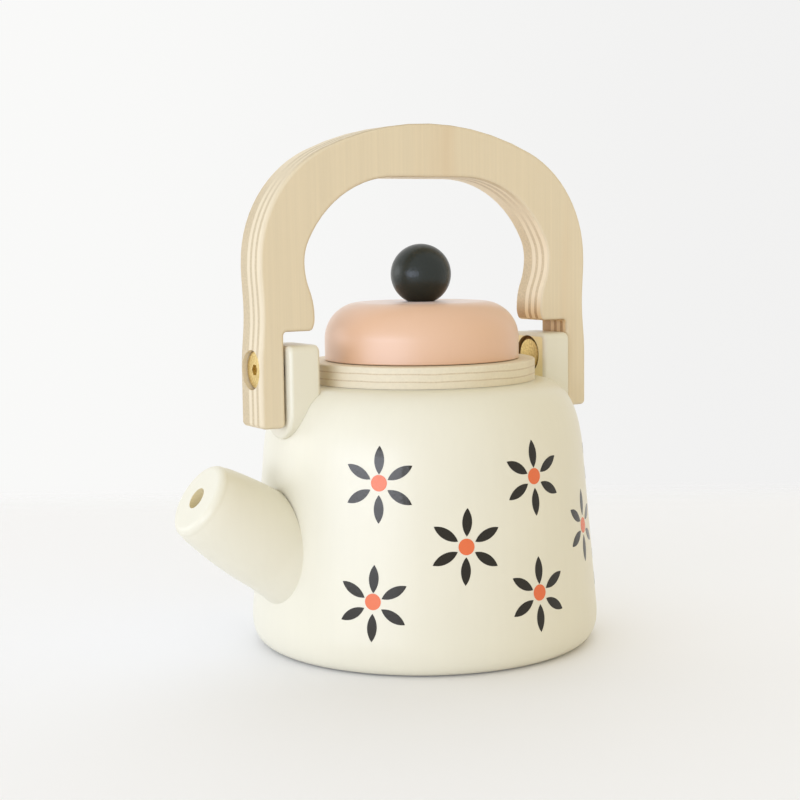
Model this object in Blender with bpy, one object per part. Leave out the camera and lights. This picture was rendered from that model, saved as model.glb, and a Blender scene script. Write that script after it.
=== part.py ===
"""A wooden toy kettle with a swinging plywood handle and a lift-off lid.

Metres, +Z up. The origin is the centre of the base, the spout points to -X,
and the handle swings about an axis along X.
"""

import math

import bmesh
import bpy
from mathutils import Vector

# Gaps
GLUE_GAP = 0.0003
SEAT_GAP = 0.0002
PIN_CLEARANCE = 0.00015
SPIGOT_CLEARANCE = 0.0006
LEDGE_CLEARANCE = 0.0003

# Body: the straight side is drawn from the ground to the top plane, then rounded at both ends
BODY_HEIGHT = 0.0860
BODY_FLARE = 0.00745
FOOT_IN = 0.00775
FOOT_UP = 0.0110
SHOULDER_IN = 0.0120
SHOULDER_DROP = 0.0230
FLOOR_THICKNESS = 0.0100
CAVITY_CORNER = 0.0060

# Plywood ring on the body's top
RING_RADIUS = 0.0375
RING_THICKNESS = 0.0068
RING_SEAT = 0.0045
RING_LIP = 0.0080
RING_ROUND = 0.0005
RIM_LEDGE = 0.0018

# Lid with its knob
RING_STEP = 0.0053
LID_HEIGHT = 0.0188
LID_ROUND = 0.0120
LID_FOOT_ROUND = 0.0009
SPIGOT_CHAMFER = 0.0008
KNOB_RADIUS = 0.0100
KNOB_SINK = 0.0010
KNOB_DOWEL_RADIUS = 0.0030
KNOB_DOWEL_IN_LID = 0.0090
KNOB_DOWEL_IN_KNOB = 0.0110

# Plywood handle
HANDLE_THICKNESS = 0.0150
HANDLE_ROUND = 0.0011
LEG_WIDTH = 0.00815
LEG_BELOW_PIVOT = 0.01815
LEG_END_ROUND = 0.0016
LEDGE_FILLET = 0.0013
TOE_ROUND = 0.0014
TOE_CURVE = 0.0065
TOE_LEAN = math.radians(27)
CHEEK_FLAT = 0.0008
CHEEK_DEPTH = 0.0032
CHEEK_CURVE = 0.0228
WAIST_DEPTH = 0.0008
ARCH_SETBACK = 0.0004
ARCH_SIDE_WIDTH = 0.0156
ARCH_OUTER_CURVE = 0.0391
ARCH_OUTER_LEAN = math.radians(65.3)
ARCH_INNER_CURVE = 0.01545
ARCH_INNER_LEAN = math.radians(25.45)
ARCH_INNER_SHOULDER = 0.0356

# Pivot hardware
PIVOT_RISE = 0.0065
COUNTERBORE_WALL = 0.00125
COUNTERBORE_DEPTH = 0.0035
HEAD_CLEARANCE = 0.00035
SCREW_HEAD_THICKNESS = 0.0018
SCREW_RADIUS = 0.0020
SCREW_TIP_GAP = 0.0015
SOCKET_RADIUS = 0.0016
SOCKET_DEPTH = 0.0011
SLEEVE_WALL = 0.0011
SLEEVE_HEAD_THICKNESS = 0.0013
SLEEVE_HEAD_RECESS = 0.0005
SLEEVE_HEAD_CLEARANCE = 0.0006
SLEEVE_FLOOR = 0.0012
HEAD_ROUND = 0.0003
WASHER_RIM = 0.0030
WASHER_THICKNESS = 0.00025

# Ears that carry the pivots
EAR_THICKNESS = 0.01065
EAR_OVERHANG = 0.0025
EAR_SKIRT = 0.0160
EAR_SIDE_WALL = 0.0035
EAR_TOP_WALL = 0.0011
EAR_ROUND = 0.0013
EAR_CORNER_EXTRA = 0.0012
EAR_DOWEL_RADIUS = 0.0020
EAR_DOWEL_WALL = 0.00185
EAR_DOWEL_INSET = 0.0014
EAR_DOWEL_IN_EAR = 0.0050
EAR_DOWEL_IN_BODY = 0.0100
EAR_DOWEL_SLOPE = math.radians(45)

# Spout
SPOUT_ANGLE = math.radians(34)
SPOUT_SEAT_HEIGHT = 0.0362
SPOUT_LENGTH = 0.0318
SPOUT_BASE_RADIUS = 0.0154
SPOUT_TIP_RADIUS = 0.0124
SPOUT_TIP_ROUND = 0.0025
SPOUT_BULGE = 0.0008
SPOUT_BORE_RADIUS = 0.0035
SPOUT_BORE_DEPTH = 0.0220
SPOUT_COPE_STOCK = 0.0040
TENON_RADIUS = 0.0080
TENON_LENGTH = 0.0120

# Facets
TURNED_SIDES = 60
KNOB_SIDES = 40
SPOUT_SIDES = 40
PIN_SIDES = 24
SOCKET_SIDES = 6
BEVEL_SEGMENTS = 3
HANDLE_BEVEL_SEGMENTS = 2
CURVE_STEPS = 7
WAIST_STEPS = 12
ARC_ERROR = 0.00007
BEVEL_ANGLE = math.radians(40)
SMOOTH_ANGLE = math.radians(35)
MERGE_DISTANCE = 1e-6

# Colour, roughness and metallic value of each finish
CREAM_PAINT = ("cream_paint", (0.86, 0.82, 0.66), 0.45, 0.0)
PEACH_PAINT = ("peach_paint", (0.82, 0.50, 0.33), 0.45, 0.0)
DARK_PAINT = ("dark_paint", (0.020, 0.023, 0.022), 0.40, 0.0)
PLYWOOD = ("birch_plywood", (0.73, 0.58, 0.38), 0.60, 0.0)
DOWEL_WOOD = ("dowel_wood", (0.66, 0.50, 0.32), 0.65, 0.0)
BRASS = ("yellow_brass", (0.62, 0.44, 0.15), 0.35, 1.0)
NYLON = ("dark_nylon", (0.16, 0.11, 0.07), 0.55, 0.0)

# The pivots' two sides: the spout's is at -X
SIDES = (("spout_side", -1), ("rear", 1))

# Radii and heights that follow from the sizes above
cavity_radius = RING_RADIUS - RING_SEAT
ring_hole_radius = cavity_radius - RING_LIP
top_flat_radius = RING_RADIUS + RIM_LEDGE
crown_radius = top_flat_radius + SHOULDER_IN
ring_bottom = BODY_HEIGHT + GLUE_GAP
ring_top = ring_bottom + RING_THICKNESS
lid_radius = RING_RADIUS - RING_STEP
lid_bottom = ring_top + SEAT_GAP
lid_top = lid_bottom + LID_HEIGHT
spigot_radius = ring_hole_radius - SPIGOT_CLEARANCE
spigot_top = lid_bottom - GLUE_GAP
spigot_bottom = spigot_top - RING_THICKNESS
knob_centre = lid_top + KNOB_RADIUS - KNOB_SINK

# The screw's head fills the leg's counterbore, and the ear is sized by the sleeve's head, which is as wide
counterbore_radius = HANDLE_THICKNESS / 2 - COUNTERBORE_WALL
screw_head_radius = counterbore_radius - HEAD_CLEARANCE
sleeve_radius = SCREW_RADIUS + PIN_CLEARANCE + SLEEVE_WALL
ear_recess_radius = screw_head_radius + SLEEVE_HEAD_CLEARANCE
ear_half_width = ear_recess_radius + EAR_SIDE_WALL
ear_top_rise = ear_recess_radius + EAR_TOP_WALL
ear_corner = EAR_ROUND + EAR_CORNER_EXTRA

# Distances outwards from the kettle's middle, along the pivot axis
ear_outer = crown_radius + EAR_OVERHANG
ear_inner = ear_outer - EAR_THICKNESS
sleeve_head_face = ear_inner + SLEEVE_HEAD_RECESS
sleeve_head_back = sleeve_head_face + SLEEVE_HEAD_THICKNESS
ear_recess_floor = sleeve_head_back + SEAT_GAP
washer_inner = ear_outer + SEAT_GAP
washer_outer = washer_inner + WASHER_THICKNESS
leg_inner = washer_outer + SEAT_GAP
leg_outer = leg_inner + LEG_WIDTH
counterbore_floor = leg_outer - COUNTERBORE_DEPTH
sleeve_tip = counterbore_floor + SEAT_GAP
sleeve_blind_end = sleeve_head_back + SLEEVE_FLOOR
screw_seat = sleeve_tip + SEAT_GAP
screw_tip = sleeve_blind_end + SCREW_TIP_GAP

# The pivot stands low enough for the handle to come to rest on the body's shoulder when it is swung down
pivot_height = BODY_HEIGHT + PIVOT_RISE

# The ledge under each cheek clears the ear's rounded corner as the handle swings
ear_corner_reach = ear_corner + math.hypot(ear_half_width - ear_corner, ear_top_rise - ear_corner)
ledge_rise = ear_corner_reach + LEDGE_CLEARANCE

# Each cheek has a curved toe, then a flat, and runs out into the arch in an S of two equal arcs
toe_round_rise = ledge_rise + TOE_ROUND
toe_rise = toe_round_rise + (TOE_CURVE - TOE_ROUND) * math.sin(TOE_LEAN)
cheek_flat_top = toe_rise + CHEEK_FLAT
cheek_lean = math.acos(1 - CHEEK_DEPTH / (2 * CHEEK_CURVE))
spring_rise = cheek_flat_top + 2 * CHEEK_CURVE * math.sin(cheek_lean)
arch_outer = leg_outer - ARCH_SETBACK
arch_inner = arch_outer - ARCH_SIDE_WIDTH
cheek_inner = arch_inner - CHEEK_DEPTH

# The outer arch's crown is one arc that meets its mirror image on the middle line
arch_crown = ARCH_OUTER_CURVE + (arch_outer - ARCH_OUTER_CURVE) / math.cos(ARCH_OUTER_LEAN)

# The turn that lays +Z along the spout's axis
spout_turn = (0, SPOUT_ANGLE - math.pi / 2, 0)


def clear_scene():
    """Removes whatever the scene holds."""
    for old in list(bpy.data.objects):
        bpy.data.objects.remove(old, do_unlink=True)


def finish_material(finish):
    """The Principled material of one finish, made once and shared."""
    name, colour, roughness, metallic = finish
    if name in bpy.data.materials:
        return bpy.data.materials[name]
    made = bpy.data.materials.new(name)
    made.use_nodes = True
    shader = made.node_tree.nodes["Principled BSDF"]
    shader.inputs["Base Color"].default_value = (*colour, 1.0)
    shader.inputs["Roughness"].default_value = roughness
    shader.inputs["Metallic"].default_value = metallic
    made.diffuse_color = (*colour, 1.0)
    return made


def place(name, shape, finish=None, location=(0, 0, 0), rotation=(0, 0, 0), parent=None):
    """Puts a bmesh into the scene as a named object, smooth where it is round."""
    bmesh.ops.recalc_face_normals(shape, faces=shape.faces)
    mesh = bpy.data.meshes.new(name)
    shape.to_mesh(mesh)
    shape.free()
    mesh.shade_smooth()
    mesh.set_sharp_from_angle(angle=SMOOTH_ANGLE)
    made = bpy.data.objects.new(name, mesh)
    bpy.context.collection.objects.link(made)
    made.rotation_euler = rotation
    made.parent = parent
    made.location = Vector(location) - (parent.location if parent else Vector())
    if finish:
        mesh.materials.append(finish_material(finish))
    return made


def helper_empty(name, location):
    """An empty on a joint's axis, for the pieces that move together."""
    made = bpy.data.objects.new(name, None)
    bpy.context.collection.objects.link(made)
    made.location = location
    return made


def change(target, tool, operation):
    """Cuts a tool from a piece, or joins it on. The tool itself isn't part of the kettle."""
    tool.hide_render = True
    tool.display_type = "WIRE"
    modifier = target.modifiers.new(tool.name, "BOOLEAN")
    modifier.operation = operation
    modifier.solver = "EXACT"
    modifier.object = tool


def round_edges(target, width, segments):
    """Rounds the sharp edges of a piece."""
    modifier = target.modifiers.new("round_edges", "BEVEL")
    modifier.width = width
    modifier.segments = segments
    modifier.limit_method = "ANGLE"
    modifier.angle_limit = BEVEL_ANGLE
    modifier.use_clamp_overlap = False


def arc(centre, radius, start, end):
    """Points of a circle's arc, from one angle in degrees to another."""
    start = math.radians(start)
    end = math.radians(end)
    if radius <= ARC_ERROR:
        return [centre]
    steps = max(2, math.ceil(abs(end - start) / (2 * math.acos(1 - ARC_ERROR / radius))))
    angles = [start + (end - start) * i / steps for i in range(steps + 1)]
    return [(centre[0] + radius * math.cos(a), centre[1] + radius * math.sin(a)) for a in angles]


def soft_corner(start, corner, end):
    """Points of a parabola that leaves start and meets end along the two sides of a corner."""
    points = []
    for i in range(CURVE_STEPS + 1):
        t = i / CURVE_STEPS
        weights = ((1 - t) ** 2, 2 * t * (1 - t), t**2)
        points.append(tuple(sum(w * p[k] for w, p in zip(weights, (start, corner, end))) for k in (0, 1)))
    return points


def without_repeats(points):
    """The same outline with coinciding neighbours left out."""
    kept = []
    for point in points:
        if not kept or math.dist(point, kept[-1]) > MERGE_DISTANCE:
            kept.append(point)
    return kept


def turned(profile, sides):
    """A solid of revolution about Z from (radius, height) points, closed where they leave the axis."""
    shape = bmesh.new()
    corners = [shape.verts.new((radius, 0, height)) for radius, height in without_repeats(profile)]
    edges = [shape.edges.new(pair) for pair in zip(corners, corners[1:])]
    if profile[0][0] > 0:
        edges.append(shape.edges.new((corners[-1], corners[0])))
    bmesh.ops.spin(
        shape,
        geom=corners + edges,
        cent=(0, 0, 0),
        axis=(0, 0, 1),
        angle=math.tau,
        steps=sides,
        use_merge=True,
    )
    bmesh.ops.remove_doubles(shape, verts=shape.verts, dist=MERGE_DISTANCE)
    return shape


def slab(outline, thickness):
    """A flat outline pushed through a thickness, as a board is sawn to shape."""
    shape = bmesh.new()
    face = shape.faces.new([shape.verts.new(point) for point in outline])
    pushed = bmesh.ops.extrude_face_region(shape, geom=[face])["geom"]
    moved = [item for item in pushed if isinstance(item, bmesh.types.BMVert)]
    bmesh.ops.translate(shape, verts=moved, vec=thickness)
    return shape


def rod(radius, bottom, top, sides=PIN_SIDES):
    """A plain round rod or drill along Z."""
    return turned([(0, bottom), (radius, bottom), (radius, top), (0, top)], sides)


def tube(inner, outer, bottom, top, rounding=0.0, sides=TURNED_SIDES):
    """A ring about Z, with its outer edges rounded."""
    profile = [(inner, bottom)]
    profile += arc((outer - rounding, bottom + rounding), rounding, -90, 0)
    profile += arc((outer - rounding, top - rounding), rounding, 0, 90)
    profile += [(inner, top)]
    return turned(profile, sides)


def side_radius(height):
    """The radius of the body's straight side, drawn on to the ground and to the top plane."""
    return crown_radius + BODY_FLARE * (1 - height / BODY_HEIGHT)


def body_outline(grown=0.0):
    """The body's outer profile from the middle of its base to the middle of its top."""
    foot_end = (side_radius(FOOT_UP), FOOT_UP)
    shoulder_start = (side_radius(BODY_HEIGHT - SHOULDER_DROP), BODY_HEIGHT - SHOULDER_DROP)
    points = [(side_radius(0) - FOOT_IN, 0)]
    points += soft_corner((side_radius(0) - FOOT_IN, 0), (side_radius(0), 0), foot_end)
    points += soft_corner(shoulder_start, (crown_radius, BODY_HEIGHT), (top_flat_radius, BODY_HEIGHT))
    return [(radius + grown, height + grown) for radius, height in points]


def shoulder_height(radius):
    """The height of the shoulder's curve at a radius."""
    start = side_radius(BODY_HEIGHT - SHOULDER_DROP)
    square = start - 2 * crown_radius + top_flat_radius
    linear = 2 * (crown_radius - start)
    t = (-linear - math.sqrt(linear**2 - 4 * square * (start - radius))) / (2 * square)
    return BODY_HEIGHT - SHOULDER_DROP * (1 - t) ** 2


def body_space(name):
    """A tool of the body's outer shape with a glue gap all round, for what is coped on to it."""
    outline = body_outline(GLUE_GAP)
    return place(name, turned([(0, outline[0][1])] + outline + [(0, outline[-1][1])], TURNED_SIDES))


def spout_seat():
    """The point where the spout's axis meets the body's side."""
    return (-side_radius(SPOUT_SEAT_HEIGHT), 0, SPOUT_SEAT_HEIGHT)


def ear_dowel_places(side):
    """The seat and turn of an ear's two dowels, on the shoulder and sloping up and outwards."""
    seat = (ear_inner + ear_outer) / 2 - EAR_DOWEL_INSET
    spread = ear_half_width - EAR_DOWEL_WALL - EAR_DOWEL_RADIUS
    turn = (0, side * (math.pi / 2 - EAR_DOWEL_SLOPE), 0)
    for part, offset in (("front", -spread), ("back", spread)):
        yield part, (side * seat, offset, shoulder_height(math.hypot(seat, offset))), turn


def make_body():
    """The turned body: a cup with a tapered side, bored for the spout's tenon and the ears' dowels."""
    profile = [(0, 0)] + body_outline()
    profile += [(cavity_radius, BODY_HEIGHT)]
    profile += arc((cavity_radius - CAVITY_CORNER, FLOOR_THICKNESS + CAVITY_CORNER), CAVITY_CORNER, 0, -90)
    profile += [(0, FLOOR_THICKNESS)]
    body = place("kettle_body", turned(profile, TURNED_SIDES), CREAM_PAINT)
    drill = rod(TENON_RADIUS + PIN_CLEARANCE, -TENON_LENGTH - SEAT_GAP, SPOUT_LENGTH)
    change(body, place("tenon_drill", drill, None, spout_seat(), spout_turn), "DIFFERENCE")
    for side_name, side in SIDES:
        for part, seat, turn in ear_dowel_places(side):
            drill = rod(EAR_DOWEL_RADIUS + PIN_CLEARANCE, -EAR_DOWEL_IN_BODY - SEAT_GAP, EAR_DOWEL_IN_EAR)
            tool = place(f"body_dowel_drill_{side_name}_{part}", drill, None, seat, turn)
            change(body, tool, "DIFFERENCE")


def make_ring():
    """The plywood ring on which the lid sits."""
    ring = tube(ring_hole_radius, RING_RADIUS, ring_bottom, ring_top, RING_ROUND)
    place("rim_ring", ring, PLYWOOD)


def ball(radius):
    """A turned ball about the origin."""
    return turned([(0, -radius)] + arc((0, 0), radius, -90, 90)[1:-1] + [(0, radius)], KNOB_SIDES)


def make_lid(carrier):
    """The lid with the disc that centres it in the ring, and its ball knob on a dowel."""
    profile = [(0, lid_bottom)]
    profile += arc((lid_radius - LID_FOOT_ROUND, lid_bottom + LID_FOOT_ROUND), LID_FOOT_ROUND, -90, 0)
    profile += arc((lid_radius - LID_ROUND, lid_top - LID_ROUND), LID_ROUND, 0, 90)
    profile += [(0, lid_top)]
    cap = place("lid_cap", turned(profile, TURNED_SIDES), PEACH_PAINT, parent=carrier)
    ball_space = place("knob_seat_tool", ball(KNOB_RADIUS + GLUE_GAP), None, (0, 0, knob_centre))
    change(cap, ball_space, "DIFFERENCE")

    profile = [(0, spigot_bottom), (spigot_radius - SPIGOT_CHAMFER, spigot_bottom)]
    profile += [(spigot_radius, spigot_bottom + SPIGOT_CHAMFER), (spigot_radius, spigot_top), (0, spigot_top)]
    place("lid_spigot", turned(profile, TURNED_SIDES), PLYWOOD, parent=carrier)

    knob = place("lid_knob", ball(KNOB_RADIUS), DARK_PAINT, (0, 0, knob_centre), parent=carrier)
    hole = rod(
        KNOB_DOWEL_RADIUS + PIN_CLEARANCE,
        -KNOB_DOWEL_IN_LID - SEAT_GAP,
        KNOB_DOWEL_IN_KNOB + SEAT_GAP,
    )
    drill = place("knob_dowel_drill", hole, None, (0, 0, lid_top))
    change(cap, drill, "DIFFERENCE")
    change(knob, drill, "DIFFERENCE")
    dowel = rod(KNOB_DOWEL_RADIUS, -KNOB_DOWEL_IN_LID, KNOB_DOWEL_IN_KNOB)
    place("knob_dowel", dowel, DOWEL_WOOD, (0, 0, lid_top), parent=carrier)


def arch(half_width, curve, lean, top):
    """Half of an arch from its crown to its side: an arc of the top's radius, then one of the side's."""
    along = half_width - curve - (top - curve) * math.cos(lean)
    below = (top - curve) * math.sin(lean)
    points = arc((along, spring_rise - below), top, 90, math.degrees(lean))
    return points + arc((half_width - curve, spring_rise), curve, math.degrees(lean), 0)


def handle_half_outline():
    """The handle's right half about its pivot, from the crown down the outside and up the inside."""
    points = arch(arch_outer, ARCH_OUTER_CURVE, ARCH_OUTER_LEAN, arch_crown)
    for i in range(1, WAIST_STEPS + 1):
        t = i / WAIST_STEPS
        waist = WAIST_DEPTH * (1 - math.cos(math.tau * t)) / 2 + ARCH_SETBACK * (1 + math.cos(math.pi * t)) / 2
        points.append((leg_outer - waist, spring_rise * (1 - t)))
    leg_end = LEG_END_ROUND - LEG_BELOW_PIVOT
    points += arc((leg_outer - LEG_END_ROUND, leg_end), LEG_END_ROUND, 0, -90)
    points += arc((leg_inner + LEG_END_ROUND, leg_end), LEG_END_ROUND, -90, -180)
    points += arc((leg_inner - LEDGE_FILLET, ledge_rise - LEDGE_FILLET), LEDGE_FILLET, 0, 90)
    toe = cheek_inner + TOE_CURVE - (TOE_CURVE - TOE_ROUND) * math.cos(TOE_LEAN)
    lean = math.degrees(TOE_LEAN)
    points += arc((toe, toe_round_rise), TOE_ROUND, 270, 180 + lean)
    points += arc((cheek_inner + TOE_CURVE, toe_rise), TOE_CURVE, 180 + lean, 180)
    lean = math.degrees(cheek_lean)
    points += arc((cheek_inner + CHEEK_CURVE, cheek_flat_top), CHEEK_CURVE, 180, 180 - lean)
    points += arc((arch_inner - CHEEK_CURVE, spring_rise), CHEEK_CURVE, -lean, 0)
    points += reversed(arch(arch_inner, ARCH_INNER_CURVE, ARCH_INNER_LEAN, ARCH_INNER_SHOULDER))
    return without_repeats(points)


def make_handle(carrier):
    """The plywood bail: its outline is sawn, its edges are rounded and its legs are counterbored."""
    half = handle_half_outline()
    outline = half + [(-x, z) for x, z in reversed(half[1:-1])]
    shape = slab([(x, -HANDLE_THICKNESS / 2, z) for x, z in outline], (0, HANDLE_THICKNESS, 0))
    handle = place("handle", shape, PLYWOOD, carrier.location, parent=carrier)
    round_edges(handle, HANDLE_ROUND, HANDLE_BEVEL_SEGMENTS)
    for side_name, side in SIDES:
        bore = rod(sleeve_radius + PIN_CLEARANCE, ear_inner, leg_outer)
        change(handle, along_pivot(f"leg_bore_{side_name}", bore, side), "DIFFERENCE")
        recess = rod(counterbore_radius, counterbore_floor, leg_outer + COUNTERBORE_DEPTH, KNOB_SIDES)
        change(handle, along_pivot(f"leg_counterbore_{side_name}", recess, side), "DIFFERENCE")


def along_pivot(name, shape, side, finish=None):
    """Lays a turned shape along the pivot axis, its height measured outwards from the middle."""
    return place(name, shape, finish, (0, 0, pivot_height), (0, side * math.pi / 2, 0))


def make_ear(side_name, side):
    """A lug coped on to the shoulder, bored for the sleeve and recessed for its head."""
    bottom = BODY_HEIGHT - EAR_SKIRT
    top = pivot_height + ear_top_rise
    corner = ear_half_width - ear_corner
    outline = arc((0, bottom + ear_half_width), ear_half_width, -180, 0)
    outline += arc((corner, top - ear_corner), ear_corner, 0, 90)
    outline += arc((-corner, top - ear_corner), ear_corner, 90, 180)
    shape = slab([(0, y, z) for y, z in outline], (EAR_THICKNESS, 0, 0))
    ear = place(f"ear_{side_name}", shape, CREAM_PAINT, (min(side * ear_inner, side * ear_outer), 0, 0))
    round_edges(ear, EAR_ROUND, BEVEL_SEGMENTS)
    change(ear, body_space(f"ear_cope_{side_name}"), "DIFFERENCE")
    bore = rod(sleeve_radius + PIN_CLEARANCE, ear_inner - EAR_THICKNESS, leg_outer)
    change(ear, along_pivot(f"ear_bore_{side_name}", bore, side), "DIFFERENCE")
    recess = rod(ear_recess_radius, ear_inner - EAR_THICKNESS, ear_recess_floor, KNOB_SIDES)
    change(ear, along_pivot(f"ear_recess_{side_name}", recess, side), "DIFFERENCE")
    for part, seat, turn in ear_dowel_places(side):
        hole = rod(EAR_DOWEL_RADIUS + PIN_CLEARANCE, -EAR_DOWEL_IN_BODY, EAR_DOWEL_IN_EAR + SEAT_GAP)
        tool = place(f"ear_dowel_drill_{side_name}_{part}", hole, None, seat, turn)
        change(ear, tool, "DIFFERENCE")
        dowel = rod(EAR_DOWEL_RADIUS, -EAR_DOWEL_IN_BODY, EAR_DOWEL_IN_EAR)
        place(f"ear_dowel_{side_name}_{part}", dowel, DOWEL_WOOD, seat, turn)


def make_pivot(side_name, side):
    """One pivot: a sleeve nut through ear and leg, a screw in its end, and a washer between them."""
    sleeve_bore = SCREW_RADIUS + PIN_CLEARANCE
    profile = [(0, sleeve_head_face)]
    profile += arc((screw_head_radius - HEAD_ROUND, sleeve_head_face + HEAD_ROUND), HEAD_ROUND, -90, 0)
    profile += [(screw_head_radius, sleeve_head_back), (sleeve_radius, sleeve_head_back)]
    profile += [(sleeve_radius, sleeve_tip), (sleeve_bore, sleeve_tip)]
    profile += [(sleeve_bore, sleeve_blind_end), (0, sleeve_blind_end)]
    along_pivot(f"pivot_sleeve_{side_name}", turned(profile, PIN_SIDES), side, BRASS)

    head_top = screw_seat + SCREW_HEAD_THICKNESS
    profile = [(0, screw_tip), (SCREW_RADIUS, screw_tip), (SCREW_RADIUS, screw_seat)]
    profile += [(screw_head_radius, screw_seat)]
    profile += arc((screw_head_radius - HEAD_ROUND, head_top - HEAD_ROUND), HEAD_ROUND, 0, 90)
    profile += [(0, head_top)]
    screw = along_pivot(f"pivot_screw_{side_name}", turned(profile, PIN_SIDES), side, BRASS)
    socket = rod(SOCKET_RADIUS, head_top - SOCKET_DEPTH, head_top + SOCKET_DEPTH, SOCKET_SIDES)
    change(screw, along_pivot(f"socket_{side_name}", socket, side), "DIFFERENCE")

    hole = sleeve_radius + PIN_CLEARANCE
    washer = tube(hole, sleeve_radius + WASHER_RIM, washer_inner, washer_outer, sides=PIN_SIDES)
    along_pivot(f"spacer_washer_{side_name}", washer, side, NYLON)


def make_spout():
    """The turned spout: a gently swelling cone, coped on to the body, with a tenon in the body's side."""
    seat_radius = side_radius(SPOUT_SEAT_HEIGHT)
    hollow = seat_radius - math.sqrt(seat_radius**2 - SPOUT_BASE_RADIUS**2)
    reach = SPOUT_BASE_RADIUS * math.tan(SPOUT_ANGLE) + hollow / math.cos(SPOUT_ANGLE) + SPOUT_COPE_STOCK
    slope = (SPOUT_BASE_RADIUS - SPOUT_TIP_RADIUS) / SPOUT_LENGTH
    shoulder = SPOUT_LENGTH - SPOUT_TIP_ROUND
    profile = [(0, -reach), (SPOUT_BASE_RADIUS + slope * reach, -reach)]
    for i in range(CURVE_STEPS):
        t = i / CURVE_STEPS
        swell = 4 * SPOUT_BULGE * t * (1 - t)
        height = shoulder * t
        profile.append((SPOUT_BASE_RADIUS - slope * height + swell, height))
    profile += arc((SPOUT_TIP_RADIUS - SPOUT_TIP_ROUND, shoulder), SPOUT_TIP_ROUND, 0, 90)
    profile += [(0, SPOUT_LENGTH)]
    spout = place("spout", turned(profile, SPOUT_SIDES), CREAM_PAINT, spout_seat(), spout_turn)
    change(spout, body_space("spout_cope"), "DIFFERENCE")
    tenon = rod(TENON_RADIUS, -TENON_LENGTH, SPOUT_LENGTH / 2)
    change(spout, place("spout_tenon", tenon, None, spout_seat(), spout_turn), "UNION")
    bore = rod(SPOUT_BORE_RADIUS, SPOUT_LENGTH - SPOUT_BORE_DEPTH, SPOUT_LENGTH + SPOUT_BORE_DEPTH)
    change(spout, place("spout_bore", bore, None, spout_seat(), spout_turn), "DIFFERENCE")


def main():
    """Builds the kettle: the fixed pieces, the lid on its seat and the handle on its pivot."""
    clear_scene()
    handle_pivot = helper_empty("handle_pivot", (0, 0, pivot_height))
    lid_seat = helper_empty("lid_seat", (0, 0, lid_bottom))
    make_body()
    make_ring()
    make_lid(lid_seat)
    make_handle(handle_pivot)
    make_spout()
    for side_name, side in SIDES:
        make_ear(side_name, side)
        make_pivot(side_name, side)


main()
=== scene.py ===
# %% [markdown]
# # A wooden toy kettle
# The kettle is turned, sawn and painted wood: a hollow tapered body with a stubby spout, a lid with a ball
# knob, and a plywood handle that swings on two brass pivots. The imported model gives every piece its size
# and its place. This script models the same pieces with finer curves, paints them, and sets up the picture.

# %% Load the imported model
from math import acos, asin, ceil, cos, degrees, hypot, pi, radians, sin, tau

import bpy
from mathutils import Matrix, Vector


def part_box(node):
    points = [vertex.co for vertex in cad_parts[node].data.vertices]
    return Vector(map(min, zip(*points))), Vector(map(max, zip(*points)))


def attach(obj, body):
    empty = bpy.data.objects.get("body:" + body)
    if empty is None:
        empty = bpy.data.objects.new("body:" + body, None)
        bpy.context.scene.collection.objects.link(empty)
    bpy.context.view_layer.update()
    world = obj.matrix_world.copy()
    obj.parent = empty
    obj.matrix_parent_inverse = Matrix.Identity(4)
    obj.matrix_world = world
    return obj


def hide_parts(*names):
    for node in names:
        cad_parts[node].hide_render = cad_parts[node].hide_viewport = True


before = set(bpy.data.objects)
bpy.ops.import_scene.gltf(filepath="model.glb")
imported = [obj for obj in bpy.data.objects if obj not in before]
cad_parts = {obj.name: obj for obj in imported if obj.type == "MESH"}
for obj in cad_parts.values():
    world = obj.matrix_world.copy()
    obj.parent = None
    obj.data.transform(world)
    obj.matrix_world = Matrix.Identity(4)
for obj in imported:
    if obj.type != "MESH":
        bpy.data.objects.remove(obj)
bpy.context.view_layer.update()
MM = 0.001

# %% [markdown]
# ## The camera
# The photograph was taken from the front, a little to the spout's side and about level with the lid. A
# camera can be placed by eye or worked out from points that are known in both the picture and the model. It
# was worked out here, so that both outlines fall on each other. It looks along its own -Z, so it is rolled
# first, then tilted up, then turned about the vertical.

# %% Camera
CAMERA_PLACE = Vector((-0.2624, -0.4286, 0.1317))
CAMERA_YAW = radians(30.63)
CAMERA_PITCH = radians(5.96)
CAMERA_ROLL = radians(-0.72)
CAMERA_LENS = 68.06
QUARTER_TURN = radians(90)

bpy.ops.object.camera_add()
camera = bpy.context.object
camera.name = "photo_camera"
camera.data.lens = CAMERA_LENS
tilt = Matrix.Rotation(QUARTER_TURN - CAMERA_PITCH, 4, "X") @ Matrix.Rotation(CAMERA_ROLL, 4, "Z")
camera.matrix_world = Matrix.Translation(CAMERA_PLACE) @ Matrix.Rotation(-CAMERA_YAW, 4, "Z") @ tilt
bpy.context.scene.camera = camera
print("camera", round(CAMERA_PLACE.length, 3), "m from the middle of the base")

# %% [markdown]
# ## Drawing a line, and turning it
# Most of the kettle comes off a lathe. In Blender a lathe is the Spin tool: half of the piece's section is
# drawn as a chain of edges, and Spin carries it round the axis. The chain is drawn as by hand, by extruding
# one vertex from point to point, and its round stretches are points of arcs.

# %% Tools for turned pieces
TURNED_SIDES = 144
ARC_STEP = 5.0
SOFT_STEPS = 20
MERGE = 0.002 * MM
SHARP_ANGLE = radians(40)


def choose(piece):
    """Makes a piece the only selected object, and the active one."""
    bpy.ops.object.select_all(action="DESELECT")
    piece.select_set(True)
    bpy.context.view_layer.objects.active = piece


def apply_modifier(piece, modifier):
    """Applies a modifier to a piece."""
    choose(piece)
    bpy.ops.object.modifier_apply(modifier=modifier.name)


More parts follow.
